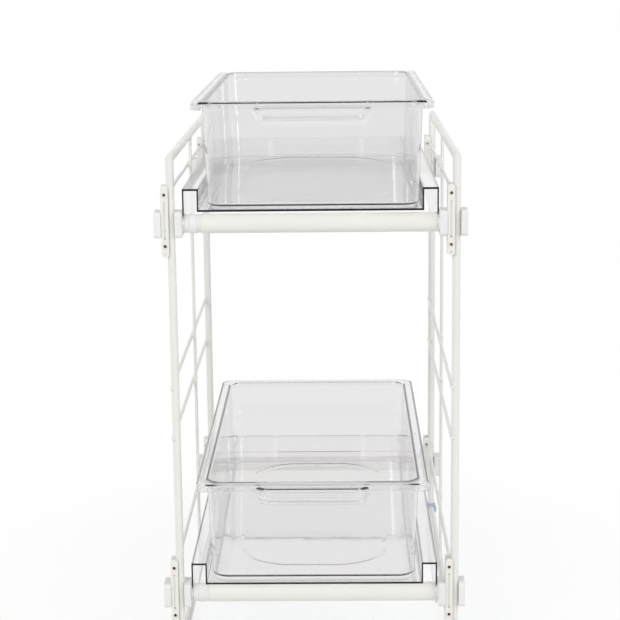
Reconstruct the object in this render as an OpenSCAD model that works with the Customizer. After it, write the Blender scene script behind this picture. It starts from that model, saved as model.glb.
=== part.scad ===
// Two tier pull-out organizer for the cupboard under a sink.
// Two welded rod frames carry four cross tubes. A clear tray sits on each pair
// of tubes, and a clear bin slides forwards and backwards in each tray.
// Front is -Y, up is +Z, and the origin is the bottom centre of the outer size.

/* [Side frames] */
// Distance between the axes of the left and right posts
frame_span = 275.5; // [270:0.5:340]
// Distance between the axes of the front and rear posts
frame_depth = 440; // [400:1:520]
// Height of the axis of the top bar above the axes of the upper tubes
top_bar_rise = 63.5; // [57:0.5:120]
// Diameter of the posts and of the top and bottom bars
rod_d = 8; // [7.6:0.1:8.4]
// Diameter of the thin wires
wire_d = 3.5; // [2.5:0.1:4]
// Distance of the upright wire behind the front posts
upright_wire_y = 235; // [150:1:300]
// How far the lying wires are set to the left of the post axes
wire_shift = 3.5; // [3:0.1:4]
// Height of the higher wire between the tiers above the axes of the lower tubes
high_guard_rise = 214; // [180:1:240]
// Height of the lower wire between the tiers above the axes of the lower tubes
low_guard_rise = 162.5; // [140:0.5:174]
// How far the wires between the tiers reach past the post axes
guard_stub = 3; // [1:0.5:6]

/* [Cross tubes] */
// Outer diameter of the cross tubes
tube_d = 19; // [18:0.1:20]
// Wall of the cross tubes
tube_wall = 1.5; // [1:0.1:2]
// Distance of the tube axes behind the post axes
tube_setback = 5; // [4:0.1:6]
// Height of the lower pair of tubes above the ground
lower_tube_z = 61; // [55:1:80]
// Height from the lower pair of tubes to the upper pair
tier_pitch = 377; // [360:1:400]

/* [Connectors] */
// How far a connector reaches to the left of its post axis
block_left = 16.3; // [15.8:0.1:20]
// How far a connector reaches to the right of its post axis
block_right = 10.6; // [10:0.1:11.8]
// Height and depth of a connector around the tube axis
block_size = 25.2; // [24.6:0.1:29]
// Radius of the long edges of a connector
block_edge_r = 4; // [1:0.5:6]
// Thickness of the two ears behind the post
ear_t = 3.5; // [2.5:0.1:5]
// Depth of the socket in a left connector
left_socket = 5.2; // [3:0.1:5.4]
// Depth of the socket in a right connector
right_socket = 6.4; // [4:0.1:6.6]

/* [Clamp straps] */
// Width of a strap
strap_w = 7.4; // [7:0.1:7.8]
// Thickness of a strap
strap_t = 2; // [1.2:0.1:2.2]
// Top of a strap above the tube axis
strap_up = 38; // [35:0.5:42]
// Bottom of a strap below the tube axis
strap_down = 31.5; // [29:0.5:36]
// Height of the upper rivet above the tube axis
rivet_up = 29.5; // [27:0.5:32]
// Depth of the lower rivet below the tube axis
rivet_down = 20.5; // [18:0.5:23]
// Diameter of a rivet shank
rivet_d = 3; // [2.6:0.1:3]
// Bore of a hollow rivet
rivet_bore = 2.2; // [1.6:0.1:2.2]
// Diameter of a rivet head
rivet_head_d = 5; // [4.4:0.1:5.4]
// Thickness of a rivet head
rivet_head_t = 0.7; // [0.4:0.1:1]
// Diameter of the small locating holes in a strap
pin_hole_d = 1.6; // [1:0.1:2]
// Distance of the inner locating holes from the rivets
pin_hole_step = 7.5; // [6:0.5:9]
// Depth of the groove between the locating holes
groove_depth = 0.8; // [0.4:0.1:1]

/* [End plugs] */
// Distance from the left post axis to the collar of a plug
collar_start = 18; // [16:0.5:18.5]
// Length of the collar
collar_len = 7; // [5:0.5:9]
// Distance from the collar to the end of the tube
plug_groove = 3.5; // [2:0.5:5]
// Diameter of the neck on both sides of the collar
neck_d = 17.6; // [17:0.1:17.8]
// Length of the plug inside the tube
spigot_len = 16; // [10:1:30]

/* [Feet] */
// Diameter of a rubber foot
foot_d = 13.5; // [12:0.1:16]
// Length of a rubber foot
foot_len = 16; // [13:1:22]
// Depth of the flat that a foot stands on
foot_flat = 0.5; // [0.3:0.1:0.8]

/* [Trays] */
// Gap between a tray and the connectors on each side
tray_side_gap = 1.4; // [0.8:0.1:4]
// Width of the hollow rail on each side of a tray
rail_w = 15.5; // [13:0.5:18]
// Distance of the front edge of a tray ahead of the front tube axis
tray_front = 14; // [12:0.5:18]
// Thickness of the channel floor, the rail tops and the back wall of a tray
tray_wall = 2; // [1.6:0.1:2.4]
// Thickness of the upright walls of the rails, which sit on the tubes
rail_wall = 1.5; // [1.2:0.1:2]
// Height of the rail top above the tube axis
rail_top = 35.5; // [32:0.5:38]
// Height of the channel floor above the tube axis
floor_top = 15.2; // [13.5:0.1:17]
// Depth of the outer walls below the tube axis
skirt_depth = 7; // [3:0.5:9]
// Width of the hook at the back of a tray
hook_w = 105; // [70:1:140]
// Depth of the hook below the tube axis
hook_depth = 3; // [1:0.5:8]
// Width of the slots beside the hook
slot_w = 6; // [4:0.5:9]
// Width of the two pads on the back wall
pad_w = 16; // [10:1:20]
// Thickness of the two pads on the back wall
pad_t = 2.5; // [1.5:0.1:4]

/* [Bins] */
// Gap between the bottom of a bin and the rails on each side
bin_side_gap = 4.9; // [4:0.1:8]
// How far the walls of a bin lean in from their top to their bottom
wall_lean = 3.7; // [3:0.1:6]
// How far the upper bin lies to the right of the middle of its tray
upper_bin_shift = 2.5; // [-2.5:0.1:2.5]
// How far the lower bin lies to the right of the middle of its tray
lower_bin_shift = -1; // [-2.5:0.1:2.5]
// Distance of the rim of a bin ahead of the front post axes
bin_front = 12.3; // [10:0.1:20]
// Distance of the rim of a bin ahead of the rear post axes
bin_back_gap = 23.3; // [22:0.1:60]
// Width of the rim around a bin
rim_w = 9.8; // [8:0.1:12]
// Height of a bin from its foot to the top of the rim
bin_h = 102.8; // [80:0.1:110]
// Wall thickness of a bin
bin_wall = 2; // [1.5:0.1:2.4]
// Depth of the turned down edge of the rim
rim_lip = 7; // [4:0.5:8]
// Radius of the outer corners of the rim
rim_corner_r = 9; // [8:0.5:20]
// Radius of the upright corners of a bin
bin_corner_r = 17; // [14:0.5:22]
// Radius between the walls and the bottom of a bin
bin_bottom_r = 7; // [5:0.5:13]
// Depth of the sunk panel that a bin slides on
panel_drop = 1.2; // [0.8:0.1:2]
// Distance of the sunk panel from the side walls at the bottom
panel_side = 28.5; // [14:0.5:32]
// Distance of the sunk panel from the front wall at the bottom
panel_front = 35.5; // [14:0.5:60]
// Distance of the sunk panel from the rear wall at the bottom
panel_rear = 15.5; // [13:0.5:60]
// Corner radius of the sunk panel
panel_r = 52; // [30:1:58]
// Width of the finger pull at its top
pull_w = 114; // [90:1:130]
// How much the finger pull narrows on each side
pull_taper = 6.5; // [0:0.5:8]
// Height of the finger pull under the edge of the rim
pull_h = 14; // [10:0.5:20]
// Depth of the finger pull
pull_depth = 6; // [4:0.5:15]

/* [Clearances] */
// Clearance where a tube, plug or post sits in a moulded piece
seat_gap = 0.1; // [0.05:0.01:0.12]
// Gap between the foot of a bin and the channel floor
slide_gap = 0.2; // [0.1:0.05:0.3]

/* [Hidden] */
SIDES = ["left", "right"];
ENDS = ["front", "rear"];
TIERS = ["lower", "upper"];

// Smoothness of bores, rods and rounded corners
$fn = 48;
// Smoothness of the corners that are blended into the walls of a bin
corner_fn = 32;
// Steps of the quarter round between the wall and the bottom of a bin
round_steps = 5;
// How far a cutting shape reaches past the face that it cuts
cut = 1;

// Colours
powder_white = "Ivory";
moulded_white = "WhiteSmoke";
clear_plastic = "Lavender";
brass = "Peru";
rubber = "LightSlateGray";

// Places that several pieces share, with the front post axes at y 0
rod_r = rod_d / 2;
tube_r = tube_d / 2;
bottom_bar_z = foot_d / 2 - foot_flat;
top_bar_z = lower_tube_z + tier_pitch + top_bar_rise;
centre_shift = (block_left - block_right) / 2;
block_back = tube_setback + block_size / 2;
y_centre = (frame_depth + block_back - bin_front) / 2;
tube_start = collar_start + collar_len + plug_groove;
strap_face = rod_r + strap_t;
rivet_x = -rod_r - rivet_d / 2;
strap_left = rivet_x - strap_w / 2;
tray_back = frame_depth + tube_setback + tube_r + seat_gap;
tray_w = frame_span - block_left - block_right - 2 * tray_side_gap;
channel_w = tray_w - 2 * rail_w;
bin_bottom_w = channel_w - 2 * bin_side_gap;
bin_top_w = bin_bottom_w + 2 * wall_lean;
bin_len = frame_depth + bin_front - bin_back_gap;
bin_bottom_len = bin_len - 2 * rim_w - 2 * wall_lean;
panel_w = bin_bottom_w - 2 * panel_side;
panel_len = bin_bottom_len - panel_front - panel_rear;

function side_x(side) = (side == "left" ? -1 : 1) * frame_span / 2 + centre_shift;
function end_y(end) = end == "front" ? 0 : frame_depth;
function tier_z(tier) = lower_tube_z + (tier == "upper" ? tier_pitch : 0);
function bin_x(tier) = tier == "upper" ? upper_bin_shift : lower_bin_shift;

// Moves a shape made around the front post axes to its place in the part
module place(x = 0, y = 0, z = 0) { translate([x, y - y_centre, z]) children(); }

// Cylinders that start at the local origin and run to +X or to +Y
module along_x(d, len) { rotate([0, 90, 0]) cylinder(d = d, h = len); }
module along_y(d, len) { rotate([-90, 0, 0]) cylinder(d = d, h = len); }

// A flat outline with round corners
module round_rect(w, l, r) {
    square([w - 2 * r, l], center = true);
    square([w, l - 2 * r], center = true);
    for (x = [-1, 1]) for (y = [-1, 1])
        translate([x * (w / 2 - r), y * (l / 2 - r)]) circle(r = r);
}

// Side frames

// Cuts a rod at 45 degrees on one side of a corner of the frame
module mitre(y, z, angle) {
    translate([0, y, z]) rotate([angle, 0, 0])
        translate([0, 0, rod_d]) cube([4 * rod_d, 4 * rod_d, 2 * rod_d], center = true);
}

// One post, mitred at its top and at its bottom
module post(end) {
    turn = end == "front" ? 1 : -1;
    color(powder_white) difference() {
        translate([0, end_y(end), bottom_bar_z - rod_r])
            cylinder(d = rod_d, h = top_bar_z - bottom_bar_z + rod_d);
        mitre(end_y(end), top_bar_z, -45 * turn);
        mitre(end_y(end), bottom_bar_z, -135 * turn);
    }
}

// The top or the bottom bar, mitred at both ends
module bar(z, up) {
    color(powder_white) difference() {
        translate([0, -rod_r, z]) along_y(rod_d, frame_depth + rod_d);
        mitre(0, z, up ? 135 : 45);
        mitre(frame_depth, z, up ? -135 : -45);
    }
}

// The upright wire, coped onto the top and bottom bars
module upright_wire() {
    color(powder_white) difference() {
        translate([wire_d - wire_shift, upright_wire_y, bottom_bar_z])
            cylinder(d = wire_d, h = top_bar_z - bottom_bar_z);
        for (z = [bottom_bar_z, top_bar_z])
            translate([0, 0, z]) along_y(rod_d, frame_depth);
    }
}

// A wire that lies along the frame and is welded to the left of both posts
module guard_wire(rise) {
    z = lower_tube_z + rise;
    color(powder_white) difference() {
        translate([-wire_shift, -guard_stub, z]) along_y(wire_d, frame_depth + 2 * guard_stub);
        for (end = ENDS)
            translate([0, end_y(end), z - wire_d]) cylinder(d = rod_d, h = 2 * wire_d);
    }
}

// A wire beside a tray, from the front connector's ear to the rear strap
module tray_wire(tier) {
    start = rod_r + ear_t;
    stop = frame_depth - strap_face - rivet_head_t;
    color(powder_white) translate([-wire_shift, start, tier_z(tier) + rivet_up])
        along_y(wire_d, stop - start);
}

// Connectors and clamp straps, made around a post axis and a tube axis

module connector_body() {
    translate([-block_left, tube_setback, 0]) rotate([90, 0, 90])
        linear_extrude(block_left + block_right) round_rect(block_size, block_size, block_edge_r);
}

// The ears lie behind the post and take the rivets
module connector_ears() {
    translate([strap_left, rod_r, -strap_down]) cube([strap_w, ear_t, strap_down + strap_up]);
}

// The channel takes the post, and its left part takes the strap
module post_channel() {
    seat_d = rod_d + 2 * seat_gap;
    reach = block_size;
    translate([0, 0, -strap_up - cut]) cylinder(d = seat_d, h = 2 * (strap_up + cut));
    translate([-seat_d / 2, -reach, -reach]) cube([seat_d, reach, 2 * reach]);
    translate([strap_left - seat_gap, -rod_r - reach, -reach]) cube([strap_w, reach, 2 * reach]);
}

// A left connector takes the neck of a plug, and a right one takes the tube
module connector_socket(side) {
    left = side == "left";
    d = (left ? neck_d : tube_d) + 2 * seat_gap;
    start = left ? block_right - left_socket : -block_left - cut;
    depth = left ? left_socket : right_socket;
    translate([start, tube_setback, 0]) along_x(d, depth + cut);
}

module rivet_holes() {
    for (z = [rivet_up, -rivet_down])
        translate([rivet_x, -strap_face - cut, z]) along_y(rivet_d, strap_face + rod_r + ear_t + 2 * cut);
}

module connector(side) {
    color(moulded_white) difference() {
        union() {
            connector_body();
            connector_ears();
        }
        post_channel();
        connector_socket(side);
        rivet_holes();
    }
}

// The groove runs from the upper to the middle locating hole
module strap() {
    groove_top = rivet_up - pin_hole_step;
    groove_bottom = pin_hole_step - rivet_down;
    color(powder_white) difference() {
        translate([rivet_x, -rod_r, 0]) rotate([90, 0, 0]) linear_extrude(strap_t)
            translate([0, (strap_up - strap_down) / 2])
                round_rect(strap_w, strap_up + strap_down, strap_w / 2 - cut / 2);
        rivet_holes();
        for (z = [groove_top, groove_bottom, -rivet_down - pin_hole_step])
            translate([rivet_x, -strap_face - cut, z]) along_y(pin_hole_d, strap_t + 2 * cut);
        translate([rivet_x - pin_hole_d / 2, -strap_face - cut, groove_bottom])
            cube([pin_hole_d, cut + groove_depth, groove_top - groove_bottom]);
    }
}

// Hollow rivets, with the head on the strap and the end flush with the ear
module rivet_pair() {
    length = strap_face + rod_r + ear_t;
    color(brass) for (z = [rivet_up, -rivet_down])
        translate([rivet_x, -strap_face, z]) difference() {
            union() {
                along_y(rivet_d, length);
                translate([0, -rivet_head_t, 0]) along_y(rivet_head_d, rivet_head_t);
            }
            translate([0, -rivet_head_t - cut, 0])
                along_y(rivet_bore, length + rivet_head_t + 2 * cut);
        }
}

// Feet

// A rubber boot pressed over the lower corner of a frame
module foot(end) {
    color(rubber) difference() {
        translate([0, end_y(end) - foot_len / 2, bottom_bar_z]) along_y(foot_d, foot_len);
        post(end);
        bar(bottom_bar_z, false);
        translate([0, end_y(end), -foot_d / 2])
            cube([foot_d, foot_len + cut, foot_d], center = true);
    }
}

// Cross tubes and their plugs, made around the tube axis

module tube() {
    start = side_x("left") + tube_start;
    stop = side_x("right") - block_left + right_socket - seat_gap;
    color(powder_white) difference() {
        translate([start, 0, 0]) along_x(tube_d, stop - start);
        translate([start - cut, 0, 0]) along_x(tube_d - 2 * tube_wall, stop - start + 2 * cut);
    }
}

module plug() {
    start = block_right - left_socket + seat_gap;
    spigot_d = tube_d - 2 * tube_wall - 2 * seat_gap;
    color(moulded_white) translate([side_x("left"), 0, 0]) {
        translate([start, 0, 0]) along_x(neck_d, tube_start - start);
        translate([collar_start, 0, 0]) along_x(tube_d, collar_len);
        translate([start, 0, 0]) along_x(spigot_d, tube_start + spigot_len - start);
    }
}

// Trays, made around the height of the tube axes

// The hat shaped outline of a tray, seen from the front
module tray_outline() {
    inner_w = tray_w - 2 * rail_wall;
    hollow_w = rail_w - 2 * rail_wall;
    difference() {
        translate([-tray_w / 2, -skirt_depth]) square([tray_w, rail_top + skirt_depth]);
        translate([-channel_w / 2, floor_top]) square([channel_w, rail_top]);
        translate([-inner_w / 2, -skirt_depth - cut])
            square([inner_w, floor_top - tray_wall + skirt_depth + cut]);
        for (x = [-inner_w / 2, inner_w / 2 - hollow_w])
            translate([x, 0]) square([hollow_w, rail_top - tray_wall]);
    }
}

// The openings in the outer walls at the tubes, which the tray is lowered over
module tube_notches() {
    notch_d = tube_d + 2 * seat_gap;
    for (end = ENDS) translate([-tray_w, end_y(end) + tube_setback, 0]) {
        along_x(notch_d, 2 * tray_w);
        translate([0, -notch_d / 2, -tray_w]) cube([2 * tray_w, notch_d, tray_w]);
    }
}

// The back wall with its hook behind the rear tube and a pad at each side
module tray_back_wall() {
    difference() {
        union() {
            translate([-tray_w / 2, tray_back, floor_top - tray_wall])
                cube([tray_w, tray_wall, rail_top - floor_top + tray_wall]);
            translate([-hook_w / 2, tray_back, -hook_depth])
                cube([hook_w, tray_wall, rail_top + hook_depth]);
        }
        for (x = [-hook_w / 2 - slot_w, hook_w / 2])
            translate([x, tray_back - cut, floor_top])
                cube([slot_w, tray_wall + 2 * cut, rail_top - floor_top - tray_wall]);
    }
    for (x = [-channel_w / 2, channel_w / 2 - pad_w])
        translate([x, tray_back - pad_t, floor_top])
            cube([pad_w, pad_t, rail_top - floor_top]);
}

module tray() {
    start = tube_setback - tray_front;
    color(clear_plastic) union() {
        difference() {
            translate([0, tray_back + tray_wall, 0]) rotate([90, 0, 0])
                linear_extrude(tray_back + tray_wall - start) tray_outline();
            tube_notches();
        }
        tray_back_wall();
    }
}

// Bins, made with the front of the rim at y 0 and the sunk panel at z 0

// A disc with a quarter round below, for one lower corner of the walls
module corner_foot(r, round_r) {
    rotate_extrude($fn = corner_fn)
        polygon([
            [0, 0],
            for (i = [0 : round_steps])
                let (a = 90 * i / round_steps)
                    [r - round_r + round_r * sin(a), round_r - round_r * cos(a)],
            [0, round_r]
        ]);
}

// The tapered body of a bin, shrunk on all sides by a wall
module bin_body(inset, top) {
    low = panel_drop + inset;
    r = bin_corner_r - inset;
    bottom_l = bin_bottom_len - 2 * inset;
    top_l = bottom_l + 2 * wall_lean;
    bottom_w = bin_bottom_w - 2 * inset;
    top_w = bin_top_w - 2 * inset;
    translate([0, bin_len / 2, 0]) hull() for (x = [-1, 1]) for (y = [-1, 1]) {
        translate([x * (bottom_w / 2 - r), y * (bottom_l / 2 - r), low])
            corner_foot(r, bin_bottom_r - inset);
        translate([x * (top_w / 2 - r), y * (top_l / 2 - r), top - cut])
            cylinder(r = r, h = cut, $fn = corner_fn);
    }
}

// The flat rim with its turned down edge
module bin_rim() {
    rim_total_w = bin_top_w + 2 * rim_w;
    edge = 2 * bin_wall;
    translate([0, bin_len / 2, bin_h - bin_wall]) linear_extrude(bin_wall)
        round_rect(rim_total_w, bin_len, rim_corner_r);
    translate([0, bin_len / 2, bin_h - rim_lip]) linear_extrude(rim_lip) difference() {
        round_rect(rim_total_w, bin_len, rim_corner_r);
        round_rect(rim_total_w - edge, bin_len - edge, rim_corner_r - bin_wall);
    }
}

// The hollow of the finger pull below the edge of the rim, or its shell grown by a wall
module pull_shape(grow) {
    top = bin_h - rim_lip + grow;
    low = bin_h - rim_lip - pull_h - grow;
    half_top = pull_w / 2 + grow;
    half_low = half_top - pull_taper;
    depth = rim_w + pull_depth + grow;
    translate([0, depth, 0]) rotate([90, 0, 0]) linear_extrude(depth)
        polygon([[-half_top, top], [half_top, top], [half_low, low], [-half_low, low]]);
}

// The part of the body that the walls of the finger pull may lie in
module pull_shell() {
    intersection() {
        bin_body(0, bin_h);
        pull_shape(bin_wall);
    }
}

module sunk_panel(inset, height) {
    start = rim_w + wall_lean + panel_front;
    translate([0, start + panel_len / 2, 0]) linear_extrude(height)
        round_rect(panel_w - 2 * inset, panel_len - 2 * inset, panel_r - inset);
}

module bin() {
    color(clear_plastic) difference() {
        union() {
            difference() {
                union() {
                    bin_body(0, bin_h);
                    bin_rim();
                    sunk_panel(0, panel_drop + cut);
                }
                bin_body(bin_wall, bin_h + cut);
                translate([0, 0, bin_wall]) sunk_panel(bin_wall, panel_drop + cut);
            }
            pull_shell();
        }
        pull_shape(0);
    }
}

// Every piece in its place

for (side = SIDES) {
    x = side_x(side);
    for (end = ENDS) {
        place(x) post(end);
        place(x) foot(end);
        for (tier = TIERS) {
            corner = str(side, "_", end, "_", tier);
            place(x, end_y(end), tier_z(tier)) connector(side);
            place(x, end_y(end), tier_z(tier)) strap();
        }
    }
    place(x) bar(top_bar_z, true);
    place(x) bar(bottom_bar_z, false);
    place(x) upright_wire();
    place(x) guard_wire(high_guard_rise);
    place(x) guard_wire(low_guard_rise);
    for (end = ENDS) for (tier = TIERS) place(x, end_y(end), tier_z(tier)) rivet_pair();
    for (tier = TIERS)
        place(x) tray_wire(tier);
}
for (tier = TIERS) {
    for (end = ENDS) {
        tube_y = end_y(end) + tube_setback;
        place(0, tube_y, tier_z(tier)) tube();
        place(0, tube_y, tier_z(tier)) plug();
    }
    bin_z = tier_z(tier) + floor_top + slide_gap;
    place(0, 0, tier_z(tier)) tray();
    place(bin_x(tier), -bin_front, bin_z) bin();
}
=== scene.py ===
import math

import bmesh
import bpy
from bpy.props import FloatProperty, FloatVectorProperty, IntProperty, PointerProperty
from bpy.types import Operator, Panel, PropertyGroup
from mathutils import Matrix, Vector


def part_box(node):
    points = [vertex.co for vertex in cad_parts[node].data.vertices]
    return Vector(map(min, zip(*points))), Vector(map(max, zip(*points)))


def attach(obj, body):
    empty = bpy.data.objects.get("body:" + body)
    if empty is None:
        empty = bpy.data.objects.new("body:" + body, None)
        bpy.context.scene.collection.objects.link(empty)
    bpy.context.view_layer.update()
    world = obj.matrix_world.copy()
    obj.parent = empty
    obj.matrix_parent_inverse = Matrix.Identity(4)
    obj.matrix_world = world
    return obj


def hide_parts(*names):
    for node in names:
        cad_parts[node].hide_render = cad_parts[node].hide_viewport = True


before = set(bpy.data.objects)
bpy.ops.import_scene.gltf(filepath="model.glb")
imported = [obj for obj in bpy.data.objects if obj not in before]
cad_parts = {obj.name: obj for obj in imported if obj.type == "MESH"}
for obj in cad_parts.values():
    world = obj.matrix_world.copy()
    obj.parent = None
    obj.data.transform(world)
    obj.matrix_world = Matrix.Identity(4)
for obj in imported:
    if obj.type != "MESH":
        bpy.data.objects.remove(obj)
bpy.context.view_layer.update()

bl_info = {
    "name": "Under Sink Organizer",
    "version": (1, 0, 0),
    "blender": (4, 5, 0),
    "location": "3D View > Sidebar > Organizer",
    "description": "Dresses the rod frames, clear trays and clear bins of an under sink organizer",
    "category": "Object",
}

SIDES = ("left", "right")
ENDS = ("front", "rear")
TIERS = ("lower", "upper")
CORNERS = [f"{side}_{end}_{tier}" for side in SIDES for end in ENDS for tier in TIERS]
FRAME_BODY = "frame"


def box_size(node):
    """Width, depth and height of a CAD node at rest."""
    low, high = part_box(node)
    return Vector(high) - Vector(low)


def box_middle(node):
    """Middle of the box around a CAD node at rest."""
    low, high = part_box(node)
    return (Vector(low) + Vector(high)) / 2


ROD = box_size("left_top_bar").x
WIRE = box_size("left_upright_wire").x
BIN = box_size("upper_bin")

FLOOR_RADIUS = 1.3
WHITE_THROUGH_PLASTIC = 0.84
FILL_LIGHT = 0.6

PHOTO_PIXELS = 620.0
FOCAL_PIXELS = 1724.5
SENSOR_WIDTH = 36.0
CAMERA_PLACE = (0.02705, -1.8672, 0.6932)
CAMERA_PITCH = math.radians(-11.694)
CAMERA_TURN = math.radians(0.997)
CAMERA_ROLL = math.radians(-0.610)
LAMP_TARGET = Vector((0.0, 0.0, 0.28))
# Name, place, width, height and power of each lamp
LAMPS = (
    ("key_lamp", (-1.1, -1.8, 1.5), 1.2, 1.2, 19.5),
    ("side_lamp", (1.6, -1.0, 1.0), 0.5, 1.4, 9.5),
    ("top_lamp", (0.1, 0.2, 2.4), 1.4, 1.4, 3.5),
)

# Heights above the underside of a bin where a loop keeps its plain walls from long thin faces
PLAIN_WALL_HEIGHTS = (0.03, 0.055)
# Faces around the rounding between the walls and the bottom of a bin
BOTTOM_STEPS = 8
# How strongly each loop of that rounding has the painted dark line of shade along the bottom edge
PAINTED_EDGE_SHADE_AMOUNTS = (0.3, 0.9, 1.0, 1.0, 0.7, 0.3, 0.0, 0.0, 0.0)
# Width under the bottom over which that painted shade fades out
PAINTED_SHADE_FADE = 0.0008
# Faces along the straight part of the side walls and of the rear wall of a bin
SIDE_STEPS = 8
REAR_STEPS = 6
# Columns of the front wall on both sides of the end of the finger pull, in millimetres from it,
# and further ones as shares of the wall
PULL_END_COLUMNS = (6, 3.2, 1.8, 0.9, 0, -0.9, -1.8, -2.7, -3.6, -4.6, -6, -8, -12)
MIDDLE_COLUMNS = (0.42, 0.28, 0.14)
# Height above the edge of the finger pull, and the share of its depth reached there
PULL_LEDGE = ((-0.0032, 0.0), (-0.002, 0.02), (-0.001, 0.07), (0.0001, 0.19), (0.001, 0.36),
              (0.0018, 0.56), (0.0026, 0.75), (0.0036, 0.9), (0.0048, 0.97), (0.0064, 1.0))
# Places across the edge of the sunk panel, and the share of its depth reached there
PANEL_STEP = ((0.0044, 0.0), (0.003, 0.05), (0.0015, 0.22), (-0.0015, 0.78), (-0.003, 0.95),
              (-0.0044, 1.0))
SMALLEST_RADIUS = 0.0004
# Edges sharper than this many degrees are rounded, on square pieces and on round ones
SQUARE_PIECE_ANGLE = 35.0
ROUND_PIECE_ANGLE = 40.0
# Rivets of one post lie further apart than this, and their points less
RIVET_GAP = 0.003
RIVET_INSET = 0.0006


class OrganizerSizes(PropertyGroup):
    """Sizes of the finishing details, in the units of the real object"""

    weld_size: FloatProperty(
        name="Weld Size", description="Radius of the weld where a thin wire meets a rod",
        default=WIRE * 0.62, min=0.001, max=0.004, unit="LENGTH")
    connector_edge: FloatProperty(
        name="Connector Edge", description="Rounding of the edges of a moulded connector",
        default=0.0009, min=0.0002, max=0.002, unit="LENGTH")
    strap_edge: FloatProperty(
        name="Strap Edge", description="Rounding of the edges of a clamp strap",
        default=0.0004, min=0.0001, max=0.0008, unit="LENGTH")
    tray_edge: FloatProperty(
        name="Tray Edge", description="Rounding of the edges of a clear tray",
        default=0.0003, min=0.0001, max=0.0008, unit="LENGTH")
    tube_edge: FloatProperty(
        name="Tube Edge", description="Rounding of the ends of a cross tube",
        default=0.0005, min=0.0002, max=0.001, unit="LENGTH")
    plug_edge: FloatProperty(
        name="Plug Edge", description="Rounding of the edges of an end plug",
        default=0.0012, min=0.0004, max=0.002, unit="LENGTH")
    foot_edge: FloatProperty(
        name="Foot Edge", description="Rounding of the ends of a rubber foot",
        default=0.0014, min=0.0005, max=0.003, unit="LENGTH")
    bin_wall: FloatProperty(
        name="Bin Wall", description="Wall thickness of a bin",
        default=0.002, min=0.0015, max=0.003, unit="LENGTH")
    rim_width: FloatProperty(
        name="Rim Width", description="Width of the flat rim around a bin",
        default=0.0098, min=0.008, max=0.012, unit="LENGTH")
    rim_lip: FloatProperty(
        name="Rim Edge Depth", description="Depth of the turned down edge of the rim",
        default=0.0078, min=0.004, max=0.010, unit="LENGTH")
    rim_corner: FloatProperty(
        name="Rim Corner", description="Radius of the outer corners of the rim",
        default=0.009, min=0.008, max=0.02, unit="LENGTH")
    wall_lean: FloatProperty(
        name="Wall Lean", description="How far the walls of a bin lean in from top to bottom",
        default=0.0037, min=0.002, max=0.008, unit="LENGTH")
    corner_radius: FloatProperty(
        name="Corner Radius", description="Radius of the upright corners of a bin",
        default=0.017, min=0.014, max=0.022, unit="LENGTH")
    bottom_radius: FloatProperty(
        name="Bottom Radius", description="Radius between the walls and the bottom of a bin",
        default=0.0035, min=0.003, max=0.013, unit="LENGTH")
    panel_drop: FloatProperty(
        name="Panel Drop", description="Depth of the sunk panel in the bottom of a bin",
        default=0.0012, min=0.0005, max=0.002, unit="LENGTH")
    panel_radius: FloatProperty(
        name="Panel Radius", description="Corner radius of the sunk panel",
        default=0.052, min=0.03, max=0.058, unit="LENGTH")
    panel_side: FloatProperty(
        name="Panel Side", description="Distance of the sunk panel from the side walls at the bottom",
        default=0.0285, min=0.014, max=0.032, unit="LENGTH")
    panel_front: FloatProperty(
        name="Panel Front", description="Distance of the sunk panel from the front wall at the bottom",
        default=0.0355, min=0.014, max=0.06, unit="LENGTH")
    panel_rear: FloatProperty(
        name="Panel Rear", description="Distance of the sunk panel from the rear wall at the bottom",
        default=0.0155, min=0.013, max=0.06, unit="LENGTH")
    pull_half: FloatProperty(
        name="Pull Half Width", description="Half width of the finger pull at its top",
        default=0.057, min=0.04, max=0.07, unit="LENGTH")
    pull_taper: FloatProperty(
        name="Pull Taper", description="How much the finger pull narrows on each side",
        default=0.0065, min=0.0, max=0.008, unit="LENGTH")
    pull_height: FloatProperty(
        name="Pull Height", description="Height of the finger pull under the edge of the rim",
        default=0.0132, min=0.013, max=0.02, unit="LENGTH")
    pull_depth: FloatProperty(
        name="Pull Depth", description="Depth of the finger pull",
        default=0.006, min=0.004, max=0.010, unit="LENGTH")
    pull_run: FloatProperty(
        name="Pull Run", description="Width over which the ends of the finger pull rise to the wall",
        default=0.007, min=0.004, max=0.010, unit="LENGTH")
    corner_steps: IntProperty(
        name="Corner Steps", description="Faces around each upright corner of a bin",
        default=14, min=4, max=32)


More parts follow.
